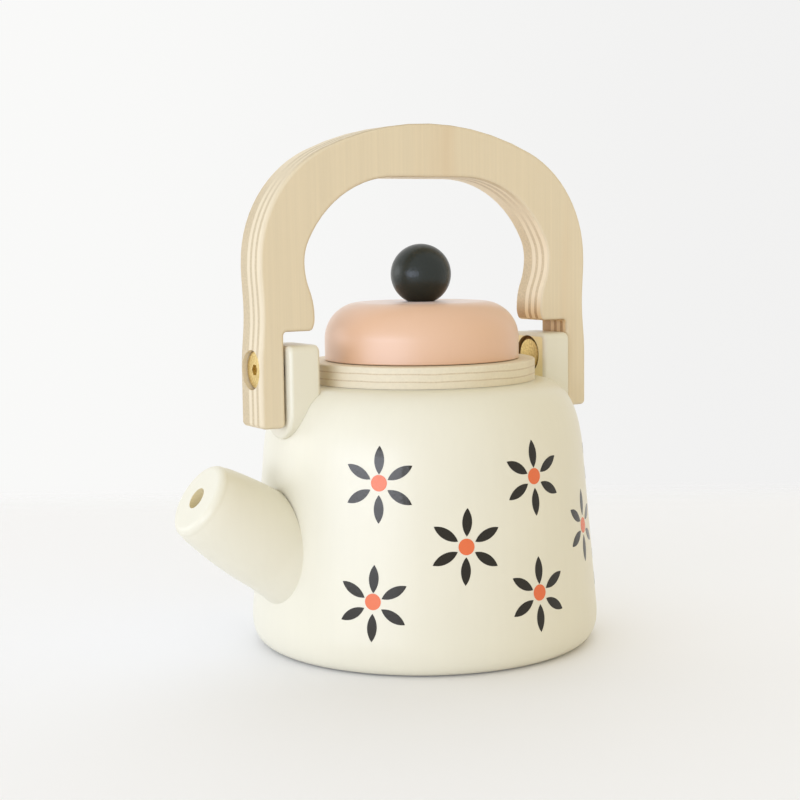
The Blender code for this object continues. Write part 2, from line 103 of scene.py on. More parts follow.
def arc(middle, radius, start, end):
    """Points of a circle's arc, from one angle to another in degrees."""
    steps = max(2, ceil(abs(end - start) / ARC_STEP))
    angles = [radians(start + (end - start) * i / steps) for i in range(steps + 1)]
    return [(middle[0] + radius * cos(a), middle[1] + radius * sin(a)) for a in angles]


def soft_corner(start, corner, end, steps=SOFT_STEPS):
    """Points of a parabola that leaves start and meets end along the two sides of a corner."""
    shares = [i / steps for i in range(steps + 1)]
    first, middle, last = Vector(start), Vector(corner), Vector(end)
    return [tuple((1 - t) ** 2 * first + 2 * t * (1 - t) * middle + t**2 * last) for t in shares]


def weld():
    """Selects the whole mesh and merges vertices that fall together."""
    bpy.ops.mesh.select_all(action="SELECT")
    bpy.ops.mesh.remove_doubles(threshold=MERGE)


def close_up():
    """Turns the whole mesh's faces outwards and leaves edit mode."""
    bpy.ops.mesh.select_all(action="SELECT")
    bpy.ops.mesh.normals_make_consistent(inside=False)
    bpy.ops.object.mode_set(mode="OBJECT")


def draw_line(name, points):
    """Draws a chain of edges through (x, z) points, and stays in edit mode."""
    bpy.ops.mesh.primitive_plane_add(size=MM, enter_editmode=True)
    bpy.ops.mesh.merge(type="CENTER")
    bpy.ops.transform.translate(value=(points[0][0], 0, points[0][1]))
    for here, there in zip(points, points[1:]):
        step = (there[0] - here[0], 0, there[1] - here[1])
        bpy.ops.mesh.extrude_region_move(TRANSFORM_OT_translate={"value": step})
    weld()
    bpy.context.object.name = name
    return bpy.context.object


def turn(name, points, sides=TURNED_SIDES):
    """Turns a section of (radius, height) points about Z into a closed solid."""
    piece = draw_line(name, points)
    bpy.ops.mesh.spin(steps=sides, angle=tau, center=(0, 0, 0), axis=(0, 0, 1))
    weld()
    close_up()
    return piece


def set_down(piece, place=(0, 0, 0), turned=(0, 0, 0)):
    """Moves a piece to its place and leaves its object at the origin, unturned."""
    choose(piece)
    piece.location = place
    piece.rotation_euler = turned
    bpy.ops.object.transform_apply(location=True, rotation=True, scale=True)


def smooth(piece):
    """Shades a piece smooth, with flat faces kept flat and sharp edges kept sharp."""
    choose(piece)
    bpy.ops.object.shade_smooth_by_angle(angle=SHARP_ANGLE)
    weights = piece.modifiers.new("flat_faces", "WEIGHTED_NORMAL")
    weights.keep_sharp = True
    apply_modifier(piece, weights)


def wear(piece, body, slot, *nodes):
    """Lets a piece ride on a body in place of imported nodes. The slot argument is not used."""
    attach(piece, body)
    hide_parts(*nodes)
    print(piece.name, "has", len(piece.data.polygons), "faces and stands for", ", ".join(nodes))


print("turned pieces have", TURNED_SIDES, "sides")

# %% [markdown]
# ## The body
# The real body is turned from a block and hollowed from the top. Its side leans in towards the top, and its
# foot and shoulder are soft parabolas rather than plain arcs. A cylinder with bevelled rims could come
# close, but the two rims are rounded by different amounts, so the whole section is drawn and turned. A thin
# lip on the flat top is the bead of glue that the ring's foot sits in.

# %% Body
SIDE_LEAN = 7.45 * MM
FOOT_IN = 7.75 * MM
FOOT_UP = 11.0 * MM
SHOULDER_IN = 12.0 * MM
SHOULDER_DROP = 23.0 * MM
RIM_LEDGE = 1.8 * MM
RING_SEAT = 4.5 * MM
RING_BEAD = 0.22 * MM
FLOOR_THICKNESS = 10.0 * MM
CAVITY_CORNER = 6.0 * MM
HAIR = 0.05 * MM

body_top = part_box("kettle_body")[1].z
ring_low, ring_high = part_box("rim_ring")
ring_radius = ring_high.x
cavity_radius = ring_radius - RING_SEAT
top_flat = ring_radius + RIM_LEDGE
crown = top_flat + SHOULDER_IN


def side_radius(height):
    """The radius of the body's straight side, drawn on to the ground and to the top."""
    return crown + SIDE_LEAN * (1 - height / body_top)


def body_outside(grown=0.0):
    """The body's outer section, from the edge of its base to the edge of its flat top."""
    foot = (side_radius(0), 0)
    foot_end = (side_radius(FOOT_UP), FOOT_UP)
    shoulder_start = (side_radius(body_top - SHOULDER_DROP), body_top - SHOULDER_DROP)
    points = soft_corner((foot[0] - FOOT_IN, 0), foot, foot_end)
    points += soft_corner(shoulder_start, (crown, body_top), (top_flat, body_top))
    return [(radius + grown - HAIR, height + grown) for radius, height in points]


section = [(0, 0)] + body_outside()
section += [(ring_radius + RING_BEAD, body_top), (ring_radius - HAIR, body_top + RING_BEAD)]
section += [(ring_radius - HAIR, body_top)]
section += [(cavity_radius, body_top), (cavity_radius, FLOOR_THICKNESS + CAVITY_CORNER)]
section += arc((cavity_radius - CAVITY_CORNER, FLOOR_THICKNESS + CAVITY_CORNER), CAVITY_CORNER, 0, -90)
section += [(0, FLOOR_THICKNESS)]
body = turn("turned_body", section)
smooth(body)
wear(body, "root", "cream_paint", "kettle_body")

# %% [markdown]
# ## The spout
# The spout is a short cone with a slight swell and a rounded tip. A cone from the menu has straight sides,
# so its section is drawn and turned upright, like the body's, and then tipped over on to its seat. Its wide
# end is left long, as stock for the next cut.

# %% Spout blank
SPOUT_ANGLE = radians(34)
SPOUT_SEAT_HEIGHT = 36.2 * MM
SPOUT_LENGTH = 31.8 * MM
SPOUT_BASE_RADIUS = 15.4 * MM
SPOUT_TIP_RADIUS = 12.4 * MM
SPOUT_TIP_ROUND = 2.5 * MM
SPOUT_SWELL = 0.8 * MM
SPOUT_STOCK = 17.0 * MM
SPOUT_SIDES = 128
SPOUT_STEPS = 16

spout_seat = Vector((-side_radius(SPOUT_SEAT_HEIGHT), 0, SPOUT_SEAT_HEIGHT))
spout_turn = (0, SPOUT_ANGLE - QUARTER_TURN, 0)
spout_axis = Vector((-cos(SPOUT_ANGLE), 0, sin(SPOUT_ANGLE)))
taper = (SPOUT_BASE_RADIUS - SPOUT_TIP_RADIUS) / SPOUT_LENGTH
spout_tip = SPOUT_LENGTH - HAIR
shoulder = spout_tip - SPOUT_TIP_ROUND
section = [(0, -SPOUT_STOCK), (SPOUT_BASE_RADIUS + taper * SPOUT_STOCK, -SPOUT_STOCK)]
for i in range(SPOUT_STEPS):
    share = i / SPOUT_STEPS
    swell = 4 * SPOUT_SWELL * share * (1 - share)
    section.append((SPOUT_BASE_RADIUS - HAIR - taper * shoulder * share + swell, shoulder * share))
section += arc((SPOUT_TIP_RADIUS - HAIR - SPOUT_TIP_ROUND, shoulder), SPOUT_TIP_ROUND, 0, 90)
section += [(0, spout_tip)]
spout = turn("turned_spout", section, SPOUT_SIDES)
set_down(spout, spout_seat, spout_turn)
print(spout.name, "leans up by", round(degrees(SPOUT_ANGLE)), "degrees")

# %% [markdown]
# ## Coping the spout
# The spout's wide end is hollowed to fit the body's round side. A Boolean does what the cutter does in the
# workshop, and the cutter is the body's own outside. It is drawn a third of a millimetre smaller, so the
# saddle sinks into the wall below, and leans a little, so the seam opens to a dark crack at the top, as on
# the real kettle. The hole in the tip is drilled after that.

# %% Tools for cutting
ROUND_SEGMENTS = 3
DRILL_SIDES = 64


def cut(piece, tool):
    """Cuts a tool's shape out of a piece, and throws the tool away."""
    boolean = piece.modifiers.new("cut", "BOOLEAN")
    boolean.operation = "DIFFERENCE"
    boolean.solver = "EXACT"
    boolean.object = tool
    apply_modifier(piece, boolean)
    bpy.data.objects.remove(tool, do_unlink=True)


def round_edges(piece, width, segments=ROUND_SEGMENTS):
    """Rounds the sharp edges of a piece."""
    bevel = piece.modifiers.new("round", "BEVEL")
    bevel.width = width
    bevel.segments = segments
    bevel.limit_method = "ANGLE"
    bevel.angle_limit = SHARP_ANGLE
    bevel.use_clamp_overlap = False
    apply_modifier(piece, bevel)


def body_tool(seam):
    """A solid of the body's outside, grown by a seam, for coping what sits on it."""
    outside = body_outside(seam)
    return turn("body_tool", [(0, outside[0][1])] + outside + [(0, outside[-1][1])])


def drill(radius, length, place, turned, sides=DRILL_SIDES):
    """A drill about a point, as a round bar along a turned Z axis."""
    bpy.ops.mesh.primitive_cylinder_add(vertices=sides, radius=radius, depth=length)
    tool = bpy.context.object
    tool.name = "drill"
    set_down(tool, place, turned)
    return tool


print("drills have", DRILL_SIDES, "sides")

# %% Spout
SPOUT_SEAM = -0.35 * MM
SPOUT_LEAN = radians(3.2)
SPOUT_BORE_RADIUS = 3.5 * MM
SPOUT_BORE_DEPTH = 22.0 * MM

cutter = body_tool(SPOUT_SEAM)
choose(cutter)
bpy.ops.transform.rotate(value=SPOUT_LEAN, orient_axis="Y", center_override=spout_seat)
cut(spout, cutter)
spout_end = spout_seat + SPOUT_LENGTH * spout_axis
cut(spout, drill(SPOUT_BORE_RADIUS, 2 * SPOUT_BORE_DEPTH, spout_end, spout_turn))
smooth(spout)
wear(spout, "root", "cream_paint", "spout")

# %% [markdown]
# ## The ring
# A ring of plywood is glued on the body's top. A cylinder with a hole cut in it would do as well, but a
# turned section lets the upper edge be sanded round while the foot stays almost sharp.

# %% Ring
RING_LIP = 8.0 * MM
RING_ROUND = 0.5 * MM
RING_FOOT_ROUND = 0.05 * MM

ring_hole = cavity_radius - RING_LIP
section = [(ring_hole, ring_high.z), (ring_hole, ring_low.z)]
section += arc((ring_radius - RING_FOOT_ROUND, ring_low.z + RING_FOOT_ROUND), RING_FOOT_ROUND, -90, 0)
section += arc((ring_radius - RING_ROUND, ring_high.z - RING_ROUND), RING_ROUND, 0, 90)
ring = turn("plywood_ring", section + section[:1])
smooth(ring)
wear(ring, "root", "birch_plywood", "rim_ring")

# %% [markdown]
# ## The lid
# The disc sawn out of the ring is glued under the lid, so the lid drops into place and can't slide off. The
# lid, its disc and its ball knob are turned sections again. The knob starts as a circle's arc and not as a
# sphere from the menu, because its foot is flattened where it stands on the lid.

# %% Lid
LID_ROUND = 12.0 * MM
LID_FOOT_ROUND = 0.35 * MM
DISC_CHAMFER = 0.8 * MM
KNOB_FOOT = 4.2 * MM

lid_low, lid_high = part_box("lid_cap")
lid_radius = lid_high.x
section = [(0, lid_low.z)]
section += arc((lid_radius - LID_FOOT_ROUND, lid_low.z + LID_FOOT_ROUND), LID_FOOT_ROUND, -90, 0)
section += arc((lid_radius - LID_ROUND, lid_high.z - LID_ROUND), LID_ROUND, 0, 90)
lid = turn("lid_dome", section + [(0, lid_high.z)])
smooth(lid)
wear(lid, "lid", "peach_paint", "lid_cap")

disc_low, disc_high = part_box("lid_spigot")
disc_radius = disc_high.x
section = [(0, disc_low.z), (disc_radius - DISC_CHAMFER, disc_low.z)]
section += [(disc_radius, disc_low.z + DISC_CHAMFER), (disc_radius, disc_high.z), (0, disc_high.z)]
disc = turn("lid_disc", section)
smooth(disc)
wear(disc, "lid", "birch_plywood", "lid_spigot")

knob_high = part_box("lid_knob")[1]
knob_radius = knob_high.x
knob_middle = knob_high.z - knob_radius
foot_angle = degrees(acos(KNOB_FOOT / knob_radius))
section = [(0, lid_high.z), (KNOB_FOOT, lid_high.z)]
section += arc((0, knob_middle), knob_radius, -foot_angle, 90)
knob = turn("ball_knob", section)
smooth(knob)
wear(knob, "lid", "dark_paint", "lid_knob", "knob_dowel")

# %% [markdown]
# ## The handle's outline
# The handle is one piece of plywood, sawn to an arch with two stepped legs. Its outline is a chain of arcs:
# a flat crown that tightens into each shoulder, a faint waist, the leg's rounded end, a ledge over the ear,
# and an S that runs from the cheek back into the arch. Drawing one half and mirroring it keeps it even.

# %% Outline of the handle
LEG_WIDTH = 8.15 * MM
LEG_END_ROUND = 1.6 * MM
LEDGE_RISE = 11.87 * MM
LEDGE_FILLET = 1.3 * MM
TOE_ROUND = 1.4 * MM
TOE_CURVE = 6.5 * MM
TOE_LEAN = radians(27)
CHEEK_FLAT = 0.8 * MM
CHEEK_DEPTH = 3.2 * MM
CHEEK_CURVE = 22.8 * MM
ARCH_SETBACK = 0.4 * MM
ARCH_SIDE_WIDTH = 15.6 * MM
ARCH_OUTER_CURVE = 39.1 * MM
ARCH_OUTER_LEAN = radians(65.3)
ARCH_INNER_CURVE = 15.45 * MM
ARCH_INNER_LEAN = radians(25.45)
ARCH_INNER_SHOULDER = 35.6 * MM
WAIST_DEPTH = 0.8 * MM
WAIST_STEPS = 24

handle_low, handle_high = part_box("handle")
pivot = (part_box("pivot_screw_rear")[0].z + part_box("pivot_screw_rear")[1].z) / 2
leg_outer = handle_high.x
leg_inner = leg_outer - LEG_WIDTH
leg_end = handle_low.z + LEG_END_ROUND
ledge = pivot + LEDGE_RISE
toe_round_rise = ledge + TOE_ROUND
toe_rise = toe_round_rise + (TOE_CURVE - TOE_ROUND) * sin(TOE_LEAN)
cheek_flat_top = toe_rise + CHEEK_FLAT
cheek_lean = acos(1 - CHEEK_DEPTH / (2 * CHEEK_CURVE))
spring = cheek_flat_top + 2 * CHEEK_CURVE * sin(cheek_lean)
arch_outer = leg_outer - ARCH_SETBACK - HAIR
arch_inner = arch_outer - ARCH_SIDE_WIDTH
cheek_inner = arch_inner - CHEEK_DEPTH
arch_crown = ARCH_OUTER_CURVE + (arch_outer - ARCH_OUTER_CURVE) / cos(ARCH_OUTER_LEAN)


def arch(half_width, curve, lean, top):
    """Half of an arch from its crown to its side: an arc of the top's radius, then one of the side's."""
    along = half_width - curve - (top - curve) * cos(lean)
    below = (top - curve) * sin(lean)
    points = arc((along, spring - below), top, 90, degrees(lean))
    return points + arc((half_width - curve, spring), curve, degrees(lean), 0)


half = arch(arch_outer, ARCH_OUTER_CURVE, ARCH_OUTER_LEAN, arch_crown)
for i in range(1, WAIST_STEPS + 1):
    share = i / WAIST_STEPS
    waist = WAIST_DEPTH * (1 - cos(tau * share)) / 2
    setback = ARCH_SETBACK * (1 + cos(pi * share)) / 2
    half.append((leg_outer - waist - setback, spring + (pivot - spring) * share))
half += arc((leg_outer - LEG_END_ROUND, leg_end), LEG_END_ROUND, 0, -90)
half += arc((leg_inner + LEG_END_ROUND, leg_end), LEG_END_ROUND, -90, -180)
half += arc((leg_inner - LEDGE_FILLET, ledge - LEDGE_FILLET), LEDGE_FILLET, 0, 90)
toe = cheek_inner + TOE_CURVE - (TOE_CURVE - TOE_ROUND) * cos(TOE_LEAN)
toe_turn = degrees(TOE_LEAN)
half += arc((toe, toe_round_rise), TOE_ROUND, 270, 180 + toe_turn)
half += arc((cheek_inner + TOE_CURVE, toe_rise), TOE_CURVE, 180 + toe_turn, 180)
cheek_turn = degrees(cheek_lean)
half += arc((cheek_inner + CHEEK_CURVE, cheek_flat_top), CHEEK_CURVE, 180, 180 - cheek_turn)
half += arc((arch_inner - CHEEK_CURVE, spring), CHEEK_CURVE, -cheek_turn, 0)
half += reversed(arch(arch_inner, ARCH_INNER_CURVE, ARCH_INNER_LEAN, ARCH_INNER_SHOULDER))
outline = half + [(-x, z) for x, z in reversed(half[1:-1])]
print("the handle's outline has", len(outline), "points")

# %% [markdown]
# ## Sawing the handle
# A flat shape becomes a board when its face is filled and extruded through the board's thickness. A bevel
# rounds every edge, as a router does, and the pivots' holes are drilled last, so their rims stay sharp.

# %% Handle
SIDES = {"spout_side": -1, "rear": 1}
HANDLE_ROUND = 1.1 * MM
COUNTERBORE_RADIUS = 6.25 * MM
COUNTERBORE_DEPTH = 3.5 * MM
PIN_HOLE_RADIUS = 3.4 * MM
PIN_DRILL_LENGTH = 4 * LEG_WIDTH


def saw(name, outline, thickness):
    """Saws a board that lies from y 0 to its thickness, to an outline of (x, z) points."""
    piece = draw_line(name, outline)
    bpy.ops.mesh.edge_face_add()
    bpy.ops.mesh.extrude_region_move(TRANSFORM_OT_translate={"value": (0, thickness, 0)})
    close_up()
    return piece


handle_thickness = handle_high.y - handle_low.y
handle = saw("plywood_handle", outline, handle_thickness)
set_down(handle, (0, handle_low.y, 0))
round_edges(handle, HANDLE_ROUND)
for side in SIDES.values():
    along_pivot = (0, side * QUARTER_TURN, 0)
    leg_side = (side * leg_outer, 0, pivot)
    cut(handle, drill(PIN_HOLE_RADIUS, PIN_DRILL_LENGTH, (side * leg_inner, 0, pivot), along_pivot))
    cut(handle, drill(COUNTERBORE_RADIUS, 2 * COUNTERBORE_DEPTH, leg_side, along_pivot))
smooth(handle)
wear(handle, "handle", "birch_plywood", "handle")

# %% [markdown]
# ## The ears
# Two painted lugs stand on the shoulder and carry the handle. Each is sawn with a round bottom and a
# squarer top, softened on every edge, then coped over the shoulder and bored for its pivot, with a wide
# recess inside for the sleeve's head. One is modelled and a copy turned half a turn makes the other.

# %% Ears
EAR_BOTTOM = 70.0 * MM
EAR_CORNER = 2.5 * MM
EAR_ROUND = 1.3 * MM
EAR_SEGMENTS = 5
EAR_SEAM = 0.04 * MM
EAR_RECESS_RADIUS = 6.5 * MM
SLEEVE_SINK = 1.5 * MM

ear_low, ear_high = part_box("ear_rear")
ear_half = ear_high.y
corner = ear_half - EAR_CORNER
outline = arc((0, EAR_BOTTOM + ear_half), ear_half, -180, 0)
outline += arc((corner, ear_high.z - EAR_CORNER), EAR_CORNER, 0, 90)
outline += arc((-corner, ear_high.z - EAR_CORNER), EAR_CORNER, 90, 180)
ear = saw("ear_lug_rear", outline, ear_high.x - ear_low.x)
set_down(ear, (ear_low.x, 0, 0), (0, 0, -QUARTER_TURN))
round_edges(ear, EAR_ROUND, EAR_SEGMENTS)
cut(ear, body_tool(EAR_SEAM))
along_pivot = (0, QUARTER_TURN, 0)
ear_side = (ear_low.x, 0, pivot)
cut(ear, drill(PIN_HOLE_RADIUS, PIN_DRILL_LENGTH, ear_side, along_pivot))
recess_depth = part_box("pivot_sleeve_rear")[0].x + SLEEVE_SINK - ear_low.x
cut(ear, drill(EAR_RECESS_RADIUS, 2 * recess_depth, ear_side, along_pivot))
smooth(ear)
choose(ear)
bpy.ops.object.duplicate()
other_ear = bpy.context.object
other_ear.name = "ear_lug_spout_side"
set_down(other_ear, turned=(0, 0, 2 * QUARTER_TURN))
wear(ear, "root", "cream_paint", "ear_rear")
wear(other_ear, "root", "cream_paint", "ear_spout_side")

# %% [markdown]
# ## The pivots
# Each pivot is a furniture connector: a brass sleeve with a flat head goes through ear and leg from the
# inside, a screw with a hexagon socket closes it from the outside, and a thin washer keeps the two woods
# apart. They are small turned sections along the pivot's axis. The screw's head is slightly domed, which
# makes its reflection run from pale to gold.

# %% Sections of the pivots
HEAD_ROUND = 0.4 * MM
HEAD_ROUND_END = 85
HEAD_DOME = 0.15 * MM
HEAD_STEPS = 6
SCREW_RADIUS = 2.0 * MM
SCREW_HEAD_RADIUS = 5.9 * MM
SCREW_HEAD_THICKNESS = 1.8 * MM
SLEEVE_RADIUS = 3.25 * MM
SLEEVE_BORE_RADIUS = 2.15 * MM
SLEEVE_HEAD_RADIUS = 5.3 * MM
SLEEVE_HEAD_THICKNESS = 1.3 * MM
SLEEVE_FLOOR = 1.2 * MM

screw_low, screw_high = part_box("pivot_screw_rear")
sleeve_low, sleeve_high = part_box("pivot_sleeve_rear")
washer_low, washer_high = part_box("spacer_washer_rear")

screw_top = screw_high.x
screw_seat = screw_top - SCREW_HEAD_THICKNESS
screw_line = [(0, screw_low.x), (SCREW_RADIUS, screw_low.x), (SCREW_RADIUS, screw_seat)]
screw_line += [(SCREW_HEAD_RADIUS, screw_seat)]
head_rim = (SCREW_HEAD_RADIUS - HEAD_ROUND, screw_top - HEAD_DOME - HEAD_ROUND)
screw_line += arc(head_rim, HEAD_ROUND, 0, HEAD_ROUND_END)
screw_line += soft_corner(screw_line[-1], (SCREW_HEAD_RADIUS / 2, screw_top), (0, screw_top), HEAD_STEPS)

sleeve_back = sleeve_low.x + SLEEVE_HEAD_THICKNESS
sleeve_line = [(0, sleeve_low.x)]
sleeve_line += arc((SLEEVE_HEAD_RADIUS - HEAD_ROUND, sleeve_low.x + HEAD_ROUND), HEAD_ROUND, -90, 0)
sleeve_line += [(SLEEVE_HEAD_RADIUS, sleeve_back), (SLEEVE_RADIUS, sleeve_back)]
sleeve_line += [(SLEEVE_RADIUS, sleeve_high.x), (SLEEVE_BORE_RADIUS, sleeve_high.x)]
sleeve_line += [(SLEEVE_BORE_RADIUS, sleeve_back + SLEEVE_FLOOR), (0, sleeve_back + SLEEVE_FLOOR)]

washer_line = [(PIN_HOLE_RADIUS, washer_low.x), (washer_high.y, washer_low.x)]
washer_line += [(washer_high.y, washer_high.x), (PIN_HOLE_RADIUS, washer_high.x)]
washer_line += washer_line[:1]
print("a screw is", round((screw_top - screw_low.x) / MM, 1), "mm long")

# %% Pivots
SOCKET_RADIUS = 1.9 * MM
SOCKET_DEPTH = 1.1 * MM
SOCKET_CORNERS = 6
PIVOT_SIDES = 64

pivot_pieces = []
for side_name, side in SIDES.items():
    along_pivot = (0, side * QUARTER_TURN, 0)
    screw = turn("socket_screw_" + side_name, screw_line, PIVOT_SIDES)
    cut(screw, drill(SOCKET_RADIUS, 2 * SOCKET_DEPTH, (0, 0, screw_top), (0, 0, 0), SOCKET_CORNERS))
    sleeve = turn("sleeve_nut_" + side_name, sleeve_line, PIVOT_SIDES)
    washer = turn("thin_washer_" + side_name, washer_line, PIVOT_SIDES)
    for piece in (screw, sleeve, washer):
        set_down(piece, (0, 0, pivot), along_pivot)
        smooth(piece)
    wear(screw, "root", "yellow_brass", "pivot_screw_" + side_name)
    wear(sleeve, "root", "yellow_brass", "pivot_sleeve_" + side_name)
    wear(washer, "root", "dark_nylon", "spacer_washer_" + side_name)
    pivot_pieces += [screw, sleeve, washer]

# %% [markdown]
# ## The printed flowers
# Rows of six-petalled flowers with a round dot run round the body. They are printed on the paint, so they
# could be drawn in its shader. A thin film of geometry stays sharper and can be glossier than the paint, as
# the print is. One petal is two arcs that meet in points, and Spin repeats it round the flower.

# %% Petals and dots
PETALS = 6
PETAL_LENGTH = 8.6 * MM
PETAL_WIDTH = 3.08 * MM
FLOWER_RADIUS = 11.7 * MM
DOT_RADIUS = 2.5 * MM
DOT_SIDES = 48

petal_arc = (PETAL_LENGTH**2 + PETAL_WIDTH**2) / (4 * PETAL_WIDTH)
petal_half_angle = degrees(asin(PETAL_LENGTH / 2 / petal_arc))
petal_middle = FLOWER_RADIUS - PETAL_LENGTH / 2


def draw_petals():
    """A flower's flat petals round the origin in the XZ plane, facing -Y."""
    middle = (PETAL_WIDTH / 2 - petal_arc, petal_middle)
    petals = draw_line("petals", arc(middle, petal_arc, -petal_half_angle, petal_half_angle))
    bpy.ops.mesh.extrude_region_move()
    bpy.ops.transform.resize(value=(-1, 1, 1), center_override=(0, 0, 0))
    weld()
    bpy.ops.mesh.subdivide(number_cuts=1)
    others = PETALS - 1
    angle = radians(360 * others / PETALS)
    bpy.ops.mesh.spin(steps=others, dupli=True, angle=angle, center=(0, 0, 0), axis=(0, 1, 0))
    return petals


def draw_dot():
    """A flat round dot in the XZ plane, facing -Y."""
    bpy.ops.mesh.primitive_circle_add(
        vertices=DOT_SIDES, radius=DOT_RADIUS, fill_type="TRIFAN", enter_editmode=True)
    bpy.context.object.name = "dot"
    bpy.ops.transform.rotate(value=QUARTER_TURN, orient_axis="X", center_override=(0, 0, 0))
    return bpy.context.object


print("a petal's two arcs have a radius of", round(petal_arc / MM, 2), "mm")

# %% [markdown]
# ## Laying the print on the body
# Shrinkwrap lays a flat flower on the body, and Solidify gives the film its thickness. The body is round,
# so a flower is laid once for each row and copied about the kettle's axis.

# %% Flower films
FILM_GAP = 0.02 * MM
FILM_THICKNESS = 0.03 * MM
FULL_ROW = (-2.5, -1.5, -0.5, 0.5, 1.5, 2.5)
SHORT_ROW = (-2, -1, 0, 1, 2)
TOP_ROW = {"dots": 59.5 * MM, "petals": 59.0 * MM, "step": 54.1, "shift": -0.65, "tilt": 0.0}
MIDDLE_ROW = {"dots": 40.1 * MM, "petals": 40.1 * MM, "step": 55.3, "shift": 2.6, "tilt": 3.3}
LOW_ROW = {"dots": 23.65 * MM, "petals": 23.15 * MM, "step": 54.9, "shift": -0.2, "tilt": 1.6}
ROWS = ((TOP_ROW, FULL_ROW), (MIDDLE_ROW, SHORT_ROW), (LOW_ROW, FULL_ROW))


def lay_on_body(film, height, tilt):
    """Lays a flat film on the body's front at a height, tilted in degrees, and gives it its thickness."""
    close_up()
    if film.data.polygons[0].normal.y > 0:
        film.data.flip_normals()
    set_down(film, (0, -2 * crown, height), (0, radians(tilt), 0))
    wrap = film.modifiers.new("wrap", "SHRINKWRAP")
    wrap.target = body
    wrap.wrap_method = "PROJECT"
    wrap.use_project_y = True
    wrap.use_negative_direction = False
    wrap.offset = FILM_GAP
    apply_modifier(film, wrap)
    solid = film.modifiers.new("film", "SOLIDIFY")
    solid.thickness = FILM_THICKNESS
    solid.offset = 1
    apply_modifier(film, solid)


def print_row(draw, row, places, ink):
    """One row's films in one ink, each with its own mesh, turned to their places about the kettle."""
    first = draw()
    lay_on_body(first, row[ink], row["tilt"])
    made = []
    for place in places:
        choose(first)
        bpy.ops.object.duplicate()
        copy = bpy.context.object
        set_down(copy, turned=(0, 0, radians(90 + row["shift"] + place * row["step"])))
        made.append(copy)
    bpy.data.objects.remove(first, do_unlink=True)
    return made


def print_all(name, draw, ink):
    """Prints all the rows in one ink and joins their films into one piece."""
    films = []
    for row, places in ROWS:
        films += print_row(draw, row, places, ink)
    choose(films[0])
    for film in films:
        film.select_set(True)
    bpy.ops.object.join()
    films[0].name = name
    return films[0]


petals = print_all("printed_petals", draw_petals, "petals")
dots = print_all("printed_dots", draw_dot, "dots")
for film, slot in ((petals, "dark_paint"), (dots, "peach_paint")):
    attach(film, "root")
    print(film.name, "has", len(film.data.polygons), "faces")

# %% [markdown]
# ## Finishes
# Every finish is a node material that works from the piece's own coordinates, so it needs no pictures and
# stays with the piece when it moves. Short functions make the node trees readable: one adds a node with its
# inputs, and the others stand for sums, mixes and noise. What several finishes share is a node group.

# %% Tools for node trees
EFFECT = {"Color": "Color", "Roughness": "Float", "Height": "Float"}


def put(tree, kind, inputs=None, **settings):
    """Adds a node: inputs are values or other nodes' outputs, by name or number, settings its options."""
    node = tree.nodes.new(kind)
    for name, value in settings.items():
        setattr(node, name, value)
    for name, value in (inputs or {}).items():
        if isinstance(value, bpy.types.NodeSocket):
            tree.links.new(value, node.inputs[name])
        else:
            node.inputs[name].default_value = value
    return node


def sum_of(tree, operation, first, second=0.0, third=0.0):
    """The outcome of one sum."""
    return put(tree, "ShaderNodeMath", {0: first, 1: second, 2: third}, operation=operation).outputs[0]


def vector_sum(tree, operation, first, second=(0, 0, 0)):
    """The outcome of one sum of vectors, which is a plain number for a length or a dot product."""
    node = put(tree, "ShaderNodeVectorMath", {0: first, 1: second}, operation=operation)
    return node.outputs["Value" if operation in ("LENGTH", "DOT_PRODUCT") else "Vector"]


def vary(tree, value, change, middle=1.0):
    """A value from 0 to 1 made to vary about a middle, by so much in all."""
    return sum_of(tree, "MULTIPLY_ADD", value, change, middle - change / 2)


def ramp(tree, value, low, high, to_low=0.0, to_high=1.0):
    """A value carried smoothly from one range to another, and held at its ends."""
    sockets = {"Value": value, "From Min": low, "From Max": high, "To Min": to_low, "To Max": to_high}
    return put(tree, "ShaderNodeMapRange", sockets, interpolation_type="SMOOTHSTEP").outputs[0]


def mix(tree, share, first, second, blend_type="MIX"):
    """Two colours mixed by a share."""
    sockets = {0: share, 6: first, 7: second}
    return put(tree, "ShaderNodeMix", sockets, data_type="RGBA", blend_type=blend_type).outputs[2]


def mix_numbers(tree, share, first, second):
    """Two numbers mixed by a share."""
    return put(tree, "ShaderNodeMix", {0: share, 2: first, 3: second}).outputs[0]


def shade(tree, colour, factor):
    """A colour made lighter or darker by a factor that changes over the surface."""
    grey = put(tree, "ShaderNodeCombineColor", {0: factor, 1: factor, 2: factor}).outputs[0]
    return mix(tree, 1.0, colour, grey, "MULTIPLY")


def noise(tree, vector, stretch, detail=2.0):
    """Noise from 0 to 1 with so many blotches to the metre along each axis."""
    scaled = vector_sum(tree, "MULTIPLY", vector, stretch)
    return put(tree, "ShaderNodeTexNoise", {"Vector": scaled, "Scale": 1.0, "Detail": detail}).outputs[0]


def new_group(name, inputs):
    """A node group of an effect with named inputs, and what is given to it."""
    group = bpy.data.node_groups.new(name, "ShaderNodeTree")
    for in_out, sockets in (("INPUT", inputs), ("OUTPUT", EFFECT)):
        for socket_name, kind in sockets.items():
            group.interface.new_socket(socket_name, in_out=in_out, socket_type="NodeSocket" + kind)
    return group, put(group, "NodeGroupInput").outputs


def new_material(name, **values):
    """A material with the principled shader, its sockets set by name with underscores for spaces."""
    material = bpy.data.materials.new(name)
    material.use_nodes = True
    shader = material.node_tree.nodes["Principled BSDF"]
    for socket_name, value in values.items():
        shader.inputs[socket_name.replace("_", " ")].default_value = value
    return material, material.node_tree, shader


